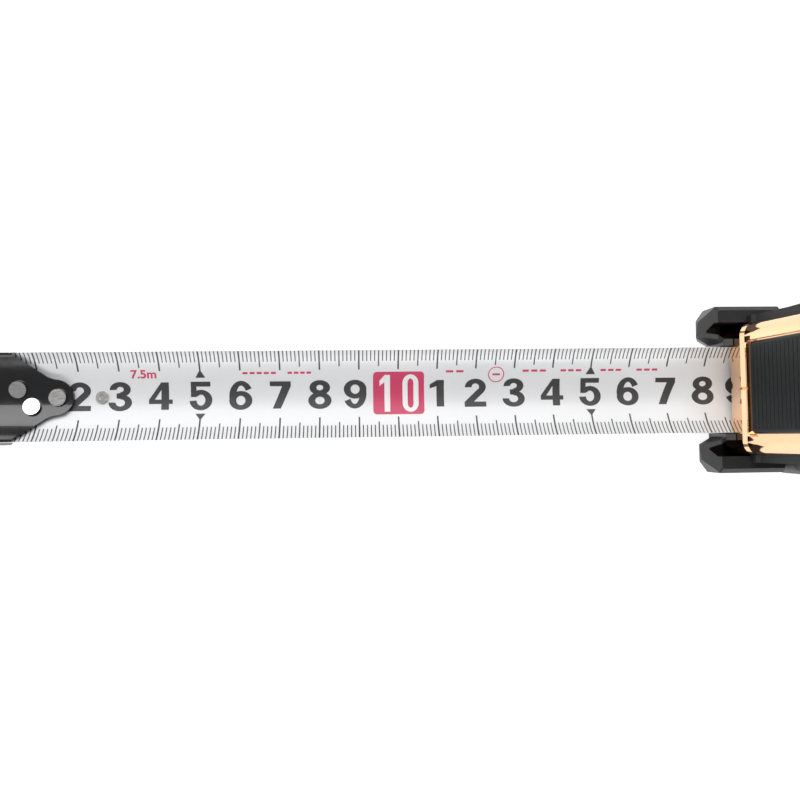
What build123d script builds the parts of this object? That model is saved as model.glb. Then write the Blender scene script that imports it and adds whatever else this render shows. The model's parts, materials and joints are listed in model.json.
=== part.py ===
from build123d import *
import os
from math import cos, radians, sin, sqrt, tan

# A 7.5 m pocket tape measure with 25 mm blade, drawn out 185.5 mm and locked.
#
# Frame: the origin is on the base plane, right under the reel's axis.  +X runs from
# the mouth into the case, so the blade comes out along -X; Y is the width; +Z is up.
# All sizes are in millimetres.

os.makedirs("parts", exist_ok=True)

# ---------------------------------------------------------------- driving sizes
# Blade
blade_width = 25.0          # measured round its curve
blade_thickness = 0.2       # steel with its lacquer
blade_radius = 14.17        # of the hollow upper face
blade_z = 11.0              # lowest line of the hollow face, above the base
blade_out = 185.5           # from the mouth to the zero of the scale
blade_tip_gap = 1.1         # the blade starts this far inside the zero
blade_curved_end = -24.5    # the curve starts to flatten here
blade_flat_start = -8.0     # flat from here on
blade_flat_end = -1.0       # where it meets the coil

# Reel, coil and power spring
coil_radius = 30.0
drum_radius = 22.0
drum_wall = 2.0
flange_radius = 30.6
flange_thickness = 1.0
spindle_radius = 4.0
spring_thickness = 0.4
spring_pitch = 1.1
spring_half_turns = 24
spring_half_width = 9.6
washer_thickness = 0.3
washer_radius = 9.0

# Case
mouth_x = -42.0             # the mouth's face, ahead of the reel's axis
case_base = 2.0             # the shells stand on pads this thick
case_top = 76.0
case_back = 33.5
case_wall = 2.2
case_floor = 10.2           # top of the solid floor under the coil
ridge_z = 21.2              # a bevel starts here, under the leaning front
ridge_step = 0.75           # how far the bevel sets the front back
lean_z = 22.15              # the front leans back above this height
lean_angle = 9.7
front_top_radius = 22.0
back_bottom_radius = 12.0
front_corner_radius = 3.6
seam_chamfer = 0.3

# Mouth
slot_side_gap = 0.45        # beside the blade's edges
lip_clearance = 2.2         # over the middle of the blade
lip_edge_gap = 0.72         # above the blade's edges
lip_hollow = 1.3            # the face is hollowed this deep over the blade's middle
lip_hollow_radius = 47.0
notch_back = -32.5          # the bumper's floor reaches back to here
notch_top = 7.8
guide_gap = 1.2             # under the blade, for the rivets' tails
guide_back = -30.0
guide_reach = 2.8           # the posts stand this far ahead of the mouth
post_width = 1.6
post_rise = 1.84            # above the blade's edges

# Grips, side covers and badge
grip_thickness = 2.0
band_setback = 3.2          # the grip's thin edge starts this far behind the mouth
band_thickness = 2.0        # out from the case's side
bulge_setback = 12.3        # and its full thickness this far behind
grip_inner = 10.0           # half-width of the bare strip between the grips
bulge_thickness = 4.4       # out from the case's side
grip_edge_radius = 3.0
cover_inset = 3.0
cover_thickness = 5.4       # out from the case's side
cover_edge_radius = 3.0
badge_radius = 19.0
badge_recess = 0.6
badge_thickness = 0.7

# Bumper with its two ears; reaches are ahead of the mouth's face
ear_reach = 7.2             # at the foremost line
ear_back = 11.9             # behind the mouth's face
ear_stand_out = 4.6         # beyond the case's side
ear_wall = 4.2
ear_top = 19.0
ear_top_reach = 4.4         # the flat top ends here
ear_nose_z = 12.0           # height of the foremost line
ear_chin_reach = 6.6
ear_chin_z = 10.5           # undercut below this height
ear_foot_reach = 2.1
ear_corner_reach = 4.6      # the outer wall turns in here
ear_corner_turn = 3.2       # and comes this much nearer the blade
ear_corner_drop = 0.3
ear_lip_tip_gap = 2.9       # lip from the mouth's side
ear_lip_root_reach = 3.2
ear_lip_root_gap = 0.6
ear_lip_thickness = 1.0
ear_edge = 1.1              # chamfer round the outer top
bumper_base = 0.6
bumper_floor_reach = 2.0
bumper_step = 1.0           # the floor's nose is this much narrower than the mouth
pocket_floor = 6.0
cushion_thickness = 6.6
cushion_half_width = 9.5
cushion_margin = 0.6        # below the floor's top and above its foot
cushion_edge_radius = 0.8

# Hook, rivets and eyelet
hook_thickness = 1.0
hook_overhang = 0.85        # beyond the blade's edges
hook_rise = 0.44            # above the blade's edges
hook_base = 0.7             # lowest edge of the plate, above the base
hook_corner = 3.0
tongue_inset = 0.15         # from the blade's edges
tongue_shoulder = 5.0
tongue_waist = 12.6
tongue_waist_half = 5.1
tongue_tip_radius = 4.5
tongue_length = 18.84
hook_play = 1.0             # the hook floats by its own thickness
rivet_head_radius = 2.1
rivet_head_height = 0.6
rivet_shank_radius = 1.2
rivet_places = ((5.4, 2.3), (8.8, -2.5), (15.0, 0.0))   # mark, arc from the middle
tip_plate_length = 17.0
tip_plate_half_width = 6.0
tip_plate_thickness = 0.3
eyelet_mark = 25.5
eyelet_radius = 1.55
eyelet_height = 0.35

# Lock
button_half_width = 11.4
button_length = 24.0
button_start = 3.2          # up the leaning face from its lower end
button_height = 1.4
button_edge_radius = 1.0
button_travel = 4.5
rib_pitch = 1.4
rib_depth = 0.05
rib_inset = 1.2             # from the button's sides
recess_depth = 1.0
recess_half_width = 12.0
recess_start = 0.5
recess_corner = 1.5
neck_half_width = 4.7
neck_start = 9.0
neck_end = 17.0
carriage_thickness = 2.0
carriage_half_width = 8.5
carriage_foot = 1.2         # up the leaning face
arm_rise = 1.04             # above the blade's edges
arm_thickness = 2.0
pad_front = -29.3
pad_back = -25.2
pad_groove_half = 2.5
pad_groove_top = 13.6
leaf_thickness = 0.4

# Screws, clip
screw_radius = 1.25
screw_head_radius = 2.4
screw_head_height = 1.4
boss_radius = 3.2
clip_thickness = 1.2
clip_half_width = 9.0
clip_gap = 4.6
clip_top = 64.0
clip_bottom = 20.0
clip_pad_bottom = 52.0
clip_screw_z = 57.0

# Clearances
run_fit = 0.05              # round a turning pin
slide_gap = 0.1             # between sliding flat faces
free_gap = 0.3              # between parts that must not meet
press_gap = 0.25            # brake pad over the blade

# ---------------------------------------------------------------- derived sizes
lean = radians(lean_angle)
blade_half = blade_width / 2
blade_centre_z = blade_z + blade_radius
blade_edge_angle = blade_half / blade_radius
zero_x = mouth_x - blade_out
blade_start_x = zero_x + blade_tip_gap
blade_edge_y = blade_radius * sin(blade_edge_angle)
blade_edge_z = blade_centre_z - blade_radius * cos(blade_edge_angle)
drum_half_width = blade_half + 0.5
case_inner = drum_half_width + flange_thickness + washer_thickness + 2 * run_fit
case_half_width = case_inner + case_wall
reel_z = case_top - case_back
blade_flat_z = reel_z - coil_radius - run_fit - blade_thickness / 2
slot_half_width = blade_edge_y + slot_side_gap
lip_edge_z = blade_edge_z + lip_edge_gap
post_top = blade_edge_z + post_rise
arm_bottom = blade_edge_z + arm_rise
band_half_width = case_half_width + band_thickness
grip_half_width = case_half_width + bulge_thickness
cover_half_width = case_half_width + cover_thickness
ear_half_width = case_half_width + ear_stand_out
ear_corner_y = ear_half_width - ear_corner_turn
ear_inner_y = ear_half_width - ear_wall
ear_lip_tip_y = slot_half_width + ear_lip_tip_gap
ear_lip_root_y = slot_half_width + ear_lip_root_gap
hook_half_width = blade_edge_y + hook_overhang
hook_top = blade_edge_z + hook_rise
tongue_half_width = blade_edge_y - tongue_inset
recess_end = button_start + button_length + button_travel + 0.8
tongue_floor_radius = blade_radius - run_fit
tongue_top_radius = tongue_floor_radius - hook_thickness
lean_plane = Plane(
    origin=(mouth_x + ridge_step, 0, lean_z),
    x_dir=(0, -1, 0),
    z_dir=(-cos(lean), 0, sin(lean)),
)
screw_places = ((-27.6, reel_z + 22.3), (-28.0, 6.0), (24.0, 6.5))


def save(builder, node):
    """Label a finished piece and write it as one STEP file."""
    builder.part.label = node
    export_step(builder.part, f"parts/{node}.step")


def side_plane(y):
    """The plane of the side view at a given Y; extruding by -t goes towards +Y."""
    return Plane.XZ.offset(-y)


def case_profile(y, grow, front_x, bottom):
    """The D-shaped side outline, grown outwards by grow, with its front at front_x."""
    top = case_top + grow
    back = case_back + grow
    lean_run = (top - lean_z) * tan(lean)
    brow_radius = front_top_radius + grow - (front_x - mouth_x) / 2
    with BuildSketch(side_plane(y)) as profile:
        with BuildLine() as outline:
            Polyline(
                (front_x, bottom),
                (front_x, ridge_z),
                (front_x + ridge_step, lean_z),
                (front_x + ridge_step + lean_run, top),
                (back, top),
                (back, bottom),
                close=True,
            )
        make_face(outline.edges())
        crown = profile.vertices().group_by(Axis.Y)[-1]
        fillet(crown.sort_by(Axis.X)[-1], case_back + grow)
        crown = profile.vertices().group_by(Axis.Y)[-1]
        fillet(crown.sort_by(Axis.X)[0], brow_radius)
        heel = profile.vertices().group_by(Axis.Y)[0]
        fillet(heel.sort_by(Axis.X)[-1], back_bottom_radius + grow)
    return profile.sketch


def case_slab(y, width, grow, front_x, bottom, mode=Mode.ADD):
    """A slab with the case's outline, from y towards +Y."""
    extrude(case_profile(y, grow, front_x, bottom), amount=-width, mode=mode)


def block(x0, x1, y0, y1, z0, z1, mode=Mode.ADD):
    """A box given by its two corners."""
    with Locations(((x0 + x1) / 2, (y0 + y1) / 2, (z0 + z1) / 2)):
        Box(x1 - x0, y1 - y0, z1 - z0, mode=mode)


def disc(y, radius, width, places, mode=Mode.ADD):
    """Round discs across the case, from y towards +Y, at (X, Z) places."""
    with BuildSketch(side_plane(y)) as faces:
        with Locations(*places):
            Circle(radius)
    extrude(faces.sketch, amount=-width, mode=mode)


reel_axis = ((0, reel_z),)


# ---------------------------------------------------------------- case shells
def mouth_opening():
    """Cut the tunnel for the blade, whose lip follows the blade's hollow."""
    with BuildSketch(Plane.YZ.offset(mouth_x - 0.5)) as opening:
        with BuildLine() as outline:
            foot = Polyline(
                (slot_half_width, lip_edge_z),
                (slot_half_width, notch_top),
                (-slot_half_width, notch_top),
                (-slot_half_width, lip_edge_z),
            )
            ThreePointArc(foot @ 1, (0, blade_z + lip_clearance), foot @ 0)
        make_face(outline.edges())
    extrude(opening.sketch, amount=case_wall + 1.0, mode=Mode.SUBTRACT)


def lip_hollow_cut():
    """Hollow the front face towards the lip, deepest over the blade's middle."""
    lip_z = blade_z + lip_clearance
    drop = ridge_z - lip_z
    slope = sqrt(lip_hollow**2 + drop**2)
    outwards = lip_hollow_radius / slope
    axis = Plane(
        origin=(mouth_x - drop * outwards, 0, ridge_z - lip_hollow * outwards),
        x_dir=(0, 1, 0),
        z_dir=(lip_hollow, 0, -drop),
    )
    with BuildSketch(axis) as end:
        Circle(lip_hollow_radius)
    extrude(end.sketch, amount=slope, mode=Mode.SUBTRACT)


def lock_cuts():
    """The shallow recess for the button and the slot for its neck."""
    with BuildSketch(lean_plane) as recess:
        with Locations((0, (recess_start + recess_end) / 2)):
            RectangleRounded(2 * recess_half_width, recess_end - recess_start, recess_corner)
    extrude(recess.sketch, amount=-recess_depth, mode=Mode.SUBTRACT)
    slot_start = neck_start - free_gap
    slot_end = neck_end + button_travel + free_gap
    with BuildSketch(lean_plane) as slot:
        with Locations((0, (slot_start + slot_end) / 2)):
            Rectangle(2 * (neck_half_width + free_gap), slot_end - slot_start)
    extrude(slot.sketch, amount=-case_wall - 1.0, mode=Mode.SUBTRACT)


with BuildPart() as case_left:
    case_slab(0, case_half_width, 0, mouth_x, case_base)
    chamfer(case_left.faces().sort_by(Axis.Y)[0].edges(), seam_chamfer)
    rim = case_left.faces().sort_by(Axis.Y)[-1].edges()
    straight = rim.filter_by(GeomType.LINE).sort_by(Axis.X)
    fillet(straight[0:3], front_corner_radius)
    inner_front = mouth_x + case_wall
    case_slab(0, case_inner, -case_wall, inner_front, case_floor, Mode.SUBTRACT)
    disc(0, boss_radius, case_inner, screw_places[:1])
    guide_bed = (0, slot_half_width, notch_top, case_floor + 1)
    block(inner_front, guide_back, *guide_bed, Mode.SUBTRACT)
    mouth_opening()
    lip_hollow_cut()
    bumper_notch = (-1, case_half_width + 1, 0, notch_top)
    block(mouth_x - 1, notch_back, *bumper_notch, Mode.SUBTRACT)
    lock_cuts()

with BuildPart() as case_right:
    mirror(case_left.part, about=Plane.XZ)
    disc(-case_half_width, screw_radius + 0.1, case_half_width, screw_places, Mode.SUBTRACT)
    disc(-case_half_width, screw_head_radius + 0.1, screw_head_height + 0.1, screw_places, Mode.SUBTRACT)
    disc(-case_half_width, screw_radius + 0.1, case_wall, reel_axis, Mode.SUBTRACT)
    disc(-case_half_width, screw_head_radius + 0.1, screw_head_height - 0.2, reel_axis, Mode.SUBTRACT)
save(case_right, "case_right")

with BuildPart(mode=Mode.PRIVATE) as left_tapped:
    add(case_left.part)
    disc(0, screw_radius, 9.0, screw_places, Mode.SUBTRACT)
save(left_tapped, "case_left")


# ---------------------------------------------------------------- case screws
def case_screw(length):
    """A countersunk-style pan screw whose head seats in the right shell."""
    head_y = -case_half_width + screw_head_height
    disc(-case_half_width, screw_head_radius, screw_head_height, screw_places)
    disc(head_y, screw_radius, length, screw_places)
    with BuildSketch(side_plane(-case_half_width)) as cross:
        with Locations(*screw_places):
            Rectangle(0.7, 2.8)
            Rectangle(2.8, 0.7)
    extrude(cross.sketch, amount=-0.8, mode=Mode.SUBTRACT)


with BuildPart() as case_screws:
    case_screw(case_half_width - screw_head_height + 8.5)
save(case_screws, "case_screws")


# ---------------------------------------------------------------- side covers and grips
def clear_of_ears():
    """Cut away what would meet the bumper's ears."""
    behind_ears = mouth_x + ear_back + free_gap
    block(mouth_x - 1, behind_ears, 0, grip_half_width + 1, -1, ear_top + free_gap, Mode.SUBTRACT)


cover_depth = cover_half_width - case_half_width
cover_front = mouth_x + bulge_setback + cover_inset
cover_base = case_base + cover_inset

with BuildPart() as cover_left:
    case_slab(case_half_width, cover_depth, -cover_inset, cover_front, cover_base)
    fillet(cover_left.faces().sort_by(Axis.Y)[-1].edges(), cover_edge_radius)

with BuildPart() as grip_left:
    bulge_width = grip_half_width - grip_inner
    case_slab(grip_inner, bulge_width, grip_thickness, mouth_x + bulge_setback, 0)
    fillet(grip_left.faces().sort_by(Axis.Y)[-1].edges(), grip_edge_radius)
    band_width = band_half_width - grip_inner
    case_slab(grip_inner, band_width, grip_thickness, mouth_x + band_setback, 0)
    case_slab(grip_inner, case_half_width - grip_inner, 0, mouth_x, case_base, Mode.SUBTRACT)
    case_slab(case_half_width, cover_depth, -cover_inset, cover_front, cover_base, Mode.SUBTRACT)
    clear_of_ears()
save(grip_left, "grip_left")

with BuildPart() as side_cover_left:
    add(cover_left.part)
    disc(cover_half_width - badge_recess, badge_radius + 0.1, 2, reel_axis, Mode.SUBTRACT)
save(side_cover_left, "side_cover_left")


def right_screw_ways():
    """Deep round ways to the case screws' heads, from the right-hand side."""
    disc(-case_half_width - 8, screw_head_radius + 0.3, 8, screw_places, Mode.SUBTRACT)


with BuildPart() as grip_right:
    mirror(grip_left.part, about=Plane.XZ)
    right_screw_ways()
save(grip_right, "grip_right")

with BuildPart() as side_cover_right:
    mirror(cover_left.part, about=Plane.XZ)
    right_screw_ways()
    disc(-cover_half_width, screw_radius, 4, ((0, clip_screw_z),), Mode.SUBTRACT)
save(side_cover_right, "side_cover_right")

with BuildPart() as badge:
    disc(cover_half_width - badge_recess, badge_radius, badge_thickness, reel_axis)
    chamfer(badge.faces().sort_by(Axis.Y)[-1].edges(), 0.2)
save(badge, "badge")

with BuildPart() as base_pad:
    block(notch_back + free_gap, 21.0, -grip_inner, grip_inner, 0, case_base)
save(base_pad, "base_pad")


# ---------------------------------------------------------------- bumper, cushion, guide
def ear_plan():
    """Plan of one ear: the outer wall, the turned-in front and the lip to the blade."""
    front = mouth_x - ear_reach
    lip_root = mouth_x - ear_lip_root_reach
    pocket_front = front + ear_lip_thickness + ear_corner_drop
    with BuildLine() as outline:
        Polyline(
            (mouth_x + ear_back, ear_inner_y),
            (mouth_x + ear_back, ear_half_width),
            (mouth_x - ear_corner_reach, ear_half_width),
            (front + ear_corner_drop, ear_corner_y),
            (front, ear_lip_tip_y),
            (lip_root, ear_lip_root_y),
            (lip_root, ear_lip_root_y + ear_lip_thickness),
            (pocket_front, ear_lip_tip_y + ear_lip_thickness / 2),
            (pocket_front, ear_lip_tip_y + ear_lip_thickness),
            (pocket_front + ear_lip_thickness, ear_inner_y),
            close=True,
        )
    make_face(outline.edges())


def foot_plan():
    """Plan of the solid foot under one ear, which carries the pocket's floor."""
    set_back = ear_reach - ear_chin_reach
    front = mouth_x - ear_chin_reach
    lip_root = mouth_x - ear_lip_root_reach + set_back
    case_face = mouth_x - slide_gap
    with BuildLine() as outline:
        Polyline(
            (mouth_x + ear_back, ear_inner_y),
            (mouth_x + ear_back, ear_half_width),
            (mouth_x - ear_corner_reach + set_back, ear_half_width),
            (front + ear_corner_drop, ear_corner_y),
            (front, ear_lip_tip_y),
            (lip_root, ear_lip_root_y),
            (case_face, ear_lip_root_y),
            (case_face, ear_inner_y),
            close=True,
        )
    make_face(outline.edges())


def ear_nose():
    """Trim the ears to their side view: a flat top and a leaning nose."""
    with BuildSketch(side_plane(-ear_half_width - 1)) as side:
        with BuildLine() as outline:
            Polyline(
                (mouth_x + ear_back, ear_chin_z),
                (mouth_x - ear_chin_reach, ear_chin_z),
                (mouth_x - ear_reach, ear_nose_z),
                (mouth_x - ear_top_reach, ear_top),
                (mouth_x + ear_back, ear_top),
                close=True,
            )
        make_face(outline.edges())
    extrude(side.sketch, amount=-2 * ear_half_width - 2, mode=Mode.INTERSECT)


with BuildPart() as front_bumper:
    with BuildSketch(Plane.XY.offset(ear_chin_z)) as ears:
        ear_plan()
        mirror(about=Plane.XZ)
    extrude(ears.sketch, amount=ear_top - ear_chin_z)
    tops = front_bumper.faces().sort_by(Axis.Z)[-2:].edges().filter_by(GeomType.LINE)
    outer = tops.filter_by(lambda edge: abs(edge.center().Y) > ear_corner_y)
    chamfer(outer.filter_by(lambda edge: edge.center().X < mouth_x + ear_back - 1), ear_edge)
    ear_nose()
    foot_run = ear_chin_reach - ear_foot_reach
    foot_drop = ear_chin_z - bumper_base
    foot_length = sqrt(foot_run**2 + foot_drop**2)
    with BuildSketch(Plane.XY.offset(ear_chin_z)) as feet:
        foot_plan()
        mirror(about=Plane.XZ)
    extrude(feet.sketch, amount=foot_length, dir=(foot_run, 0, -foot_drop))
    wide = ear_half_width + 1
    block(mouth_x + ear_back, mouth_x + 2 * ear_back, -wide, wide, 0, ear_top, Mode.SUBTRACT)
    case_room = case_half_width + slide_gap
    block(mouth_x - slide_gap, mouth_x + ear_back, -case_room, case_room, notch_top, ear_top, Mode.SUBTRACT)
    floor_front = mouth_x - bumper_floor_reach
    foot_back = mouth_x - ear_foot_reach + ear_reach - ear_corner_reach
    block(foot_back, notch_back, -ear_half_width, ear_half_width, bumper_base, pocket_floor)
    block(foot_back, notch_back, -case_half_width, case_half_width, bumper_base, notch_top)
    middle_half = slot_half_width - bumper_step
    block(floor_front, foot_back, -middle_half, middle_half, bumper_base, notch_top)
save(front_bumper, "front_bumper")

with BuildPart() as mouth_cushion:
    half = cushion_half_width
    foot = bumper_base + cushion_margin
    block(floor_front - cushion_thickness, floor_front, -half, half, foot, notch_top - cushion_margin)
    fillet(mouth_cushion.faces().sort_by(Axis.X)[0].edges(), cushion_edge_radius)
save(mouth_cushion, "mouth_cushion")

with BuildPart() as mouth_guide:
    channel_radius = blade_radius + blade_thickness + guide_gap
    inner = slot_half_width - slide_gap
    outer_y = inner + post_width
    guide_front = mouth_x - guide_reach
    post_x = mouth_x - 2 * slide_gap
    block(post_x, guide_back, -inner, inner, notch_top, case_floor + 3.0)
    block(guide_front, post_x, -inner, inner, notch_top, post_top)
    block(guide_front, post_x, -outer_y, outer_y, ear_chin_z + slide_gap, post_top)
    with BuildSketch(Plane.YZ.offset(guide_front - 1)):
        with Locations((0, blade_centre_z)):
            Circle(channel_radius)
            Rectangle(2 * inner, 2 * channel_radius, mode=Mode.INTERSECT)
    extrude(amount=guide_back - guide_front + 2, mode=Mode.SUBTRACT)
save(mouth_guide, "mouth_guide")


# ---------------------------------------------------------------- spindle, reel, spring
with BuildPart() as spindle:
    disc(-case_inner, spindle_radius, 2 * case_inner, reel_axis)
    disc(-case_inner, screw_radius, 9, reel_axis, Mode.SUBTRACT)
    slot_half = spring_half_width + free_gap
    slot_low = reel_z - spring_thickness
    slot_high = reel_z + spring_thickness
    block(0, spindle_radius + 1, -slot_half, slot_half, slot_low, slot_high, Mode.SUBTRACT)
save(spindle, "spindle")

with BuildPart() as spindle_screw:
    head_depth = screw_head_height - 0.2
    disc(-case_half_width, screw_head_radius, head_depth, reel_axis)
    disc(-case_half_width + head_depth, screw_radius, case_wall - head_depth + 4.0, reel_axis)
save(spindle_screw, "spindle_screw")

with BuildPart() as reel_washers:
    for y in (case_inner - washer_thickness - run_fit, -case_inner + run_fit):
        disc(y, washer_radius, washer_thickness, reel_axis)
    disc(-case_inner, spindle_radius + run_fit, 2 * case_inner, reel_axis, Mode.SUBTRACT)
save(reel_washers, "reel_washers")

with BuildPart() as reel_drum:
    disc(-drum_half_width, drum_radius, 2 * drum_half_width, reel_axis)
    disc(-drum_half_width, drum_radius - drum_wall, 2 * drum_half_width, reel_axis, Mode.SUBTRACT)
    disc(drum_half_width, flange_radius, flange_thickness, reel_axis)
    disc(0, spindle_radius + run_fit, 20, reel_axis, Mode.SUBTRACT)
    with BuildSketch(side_plane(drum_half_width)):
        with Locations((0, reel_z)):
            with PolarLocations(13.0, 6):
                Circle(2.6)
    extrude(amount=-flange_thickness, mode=Mode.SUBTRACT)
save(reel_drum, "reel_drum")

with BuildPart() as reel_cover:
    disc(-drum_half_width - flange_thickness, flange_radius, flange_thickness, reel_axis)
    disc(-drum_half_width, drum_radius - drum_wall - run_fit, 2.5, reel_axis)
    disc(-drum_half_width, drum_radius - drum_wall - 1.3, 2.5, reel_axis, Mode.SUBTRACT)
    disc(-20, spindle_radius + run_fit, 20, reel_axis, Mode.SUBTRACT)
save(reel_cover, "reel_cover")

with BuildPart() as blade_coil:
    disc(-blade_half, coil_radius, blade_width, reel_axis)
    disc(-blade_half, drum_radius, blade_width, reel_axis, Mode.SUBTRACT)
save(blade_coil, "blade_coil")


def half_turn(centre_x, radius, upper):
    """Half a turn of spring strip, above or below the X axis of the sketch."""
    outer = radius + spring_thickness
    rise = 1 if upper else -1
    with BuildLine() as outline:
        inner_arc = ThreePointArc(
            (centre_x - radius, reel_z),
            (centre_x, reel_z + rise * radius),
            (centre_x + radius, reel_z),
        )
        outer_arc = ThreePointArc(
            (centre_x - outer, reel_z),
            (centre_x, reel_z + rise * outer),
            (centre_x + outer, reel_z),
        )
        Line(inner_arc @ 0, outer_arc @ 0)
        Line(inner_arc @ 1, outer_arc @ 1)
    make_face(outline.edges())


with BuildPart() as power_spring:
    first_radius = spindle_radius + 0.6
    with BuildSketch(side_plane(-spring_half_width)):
        for turn in range(spring_half_turns):
            shift = -spring_pitch / 2 if turn % 2 else 0.0
            half_turn(shift, first_radius + turn * spring_pitch / 2, turn % 2 == 0)
        with Locations((first_radius - 0.6, reel_z)):
            Rectangle(2.0, spring_thickness)
    extrude(amount=-2 * spring_half_width)
save(power_spring, "power_spring")


# ---------------------------------------------------------------- blade
def blade_section():
    """The hollow section: an arc strip of the blade's width, thickness below."""
    edge_y = sin(blade_edge_angle)
    edge_z = cos(blade_edge_angle)
    lower = blade_radius + blade_thickness
    with BuildLine() as outline:
        top = ThreePointArc(
            (-blade_radius * edge_y, blade_centre_z - blade_radius * edge_z),
            (0, blade_centre_z - blade_radius),
            (blade_radius * edge_y, blade_centre_z - blade_radius * edge_z),
        )
        under = ThreePointArc(
            (-lower * edge_y, blade_centre_z - lower * edge_z),
            (0, blade_centre_z - lower),
            (lower * edge_y, blade_centre_z - lower * edge_z),
        )
        Line(top @ 0, under @ 0)
        Line(top @ 1, under @ 1)
    make_face(outline.edges())


def radial_plane(x, arc, radius):
    """A plane square to the hollow at an arc distance from its middle, facing inwards."""
    angle = arc / blade_radius
    return Plane(
        origin=(x, radius * sin(angle), blade_centre_z - radius * cos(angle)),
        x_dir=(1, 0, 0),
        z_dir=(0, -sin(angle), cos(angle)),
    )


def radial_pin(mark, arc, radius, pin_radius, height, mode=Mode.ADD):
    """A round pin square to the hollow, growing inwards from a radius of the hollow."""
    with BuildSketch(radial_plane(zero_x + mark, arc, radius)) as end:
        Circle(pin_radius)
    extrude(end.sketch, amount=height, mode=mode)


with BuildPart() as blade:
    with BuildSketch(Plane.YZ.offset(blade_start_x)):
        blade_section()
    extrude(amount=blade_curved_end - blade_start_x)
    with BuildSketch(Plane.YZ.offset(blade_curved_end)):
        blade_section()
    with BuildSketch(Plane.YZ.offset(blade_flat_start)) as flat_section:
        with Locations((0, blade_flat_z)):
            Rectangle(blade_width, blade_thickness)
    loft()
    extrude(flat_section.sketch, amount=blade_flat_end - blade_flat_start)
    for mark, arc in rivet_places:
        radial_pin(mark, arc, blade_radius + 1, rivet_shank_radius + run_fit, 2, Mode.SUBTRACT)
    radial_pin(eyelet_mark, 0, blade_radius + 1, 1.0 + run_fit, 2, Mode.SUBTRACT)
save(blade, "blade")

with BuildPart() as tip_plate:
    plate_top = blade_radius + blade_thickness
    plate_low = plate_top + tip_plate_thickness
    with BuildSketch(Plane.YZ.offset(blade_start_x + 0.6)):
        with Locations((0, blade_centre_z)):
            Circle(plate_low)
            Circle(plate_top, mode=Mode.SUBTRACT)
        with Locations((0, blade_z)):
            Rectangle(2 * tip_plate_half_width, 8, mode=Mode.INTERSECT)
    extrude(amount=tip_plate_length)
    for mark, arc in rivet_places:
        radial_pin(mark, arc, blade_radius + 1.5, rivet_shank_radius + run_fit, 2, Mode.SUBTRACT)
save(tip_plate, "tip_plate")

head_radius = tongue_top_radius - 0.2
tail_radius = blade_radius + blade_thickness + tip_plate_thickness + 0.1
with BuildPart() as hook_rivets:
    for mark, arc in rivet_places:
        radial_pin(mark, arc, tail_radius + 0.4, rivet_shank_radius, tail_radius + 0.5 - head_radius)
        radial_pin(mark, arc, head_radius, rivet_head_radius, rivet_head_height)
        radial_pin(mark, arc, tail_radius + 0.4, rivet_shank_radius + 0.5, 0.4)
save(hook_rivets, "hook_rivets")

with BuildPart() as stop_eyelet:
    seat = blade_radius - 0.1
    radial_pin(eyelet_mark, 0, seat, eyelet_radius, eyelet_height)
    radial_pin(eyelet_mark, 0, blade_radius + blade_thickness + 0.4, 1.0, 0.8)
    radial_pin(eyelet_mark, 0, blade_radius + blade_thickness + 0.4, eyelet_radius, 0.3)
    radial_pin(eyelet_mark, 0, seat - 0.1, 0.7, 1, Mode.SUBTRACT)
save(stop_eyelet, "stop_eyelet")


# ---------------------------------------------------------------- hook
def tongue_outline():
    """Plan of the tongue: square at the plate, narrowing to a round tip."""
    tip_centre = tongue_length - tongue_tip_radius
    with BuildSketch(Plane.XY.offset(blade_z - 2)) as plan:
        with BuildLine() as outline:
            Polyline(
                (zero_x - hook_thickness, tongue_half_width),
                (zero_x + tongue_shoulder, tongue_half_width),
                (zero_x + tongue_waist, tongue_waist_half),
                (zero_x + tip_centre, tongue_tip_radius),
                (zero_x + tip_centre, -tongue_tip_radius),
                (zero_x + tongue_waist, -tongue_waist_half),
                (zero_x + tongue_shoulder, -tongue_half_width),
                (zero_x - hook_thickness, -tongue_half_width),
                close=True,
            )
        make_face(outline.edges())
        shoulders = plan.vertices().filter_by(
            lambda v: abs(v.X - zero_x - tongue_shoulder) < 0.01
        )
        fillet(shoulders, 2.5)
        waists = plan.vertices().filter_by(lambda v: abs(v.X - zero_x - tongue_waist) < 0.01)
        fillet(waists, 2.5)
        with Locations((zero_x + tip_centre, 0)):
            Circle(tongue_tip_radius)
    extrude(plan.sketch, amount=12, mode=Mode.INTERSECT)


with BuildPart() as hook:
    with BuildSketch(Plane.YZ.offset(zero_x - hook_thickness)):
        with Locations((0, blade_centre_z)):
            Circle(tongue_floor_radius)
            Circle(tongue_top_radius, mode=Mode.SUBTRACT)
        with Locations((0, blade_z)):
            Rectangle(2 * tongue_half_width, 12, mode=Mode.INTERSECT)
    extrude(amount=hook_thickness + tongue_length)
    tongue_outline()
    with BuildSketch(Plane.YZ.offset(zero_x - hook_thickness)) as plate:
        with Locations((0, (hook_base + hook_top) / 2)):
            RectangleRounded(2 * hook_half_width, hook_top - hook_base, hook_corner)
        with Locations((0, hook_top - hook_corner / 2)):
            Rectangle(2 * hook_half_width, hook_corner)
        with Locations((0, blade_centre_z)):
            Circle(tongue_top_radius, mode=Mode.SUBTRACT)
    extrude(amount=hook_thickness)
    for mark, arc in rivet_places:
        with BuildSketch(radial_plane(zero_x + mark - hook_play / 2, arc, blade_radius + 1)):
            SlotCenterToCenter(hook_play + 0.3, 2 * (rivet_shank_radius + 0.1))
        extrude(amount=4, mode=Mode.SUBTRACT)
save(hook, "hook")


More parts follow.
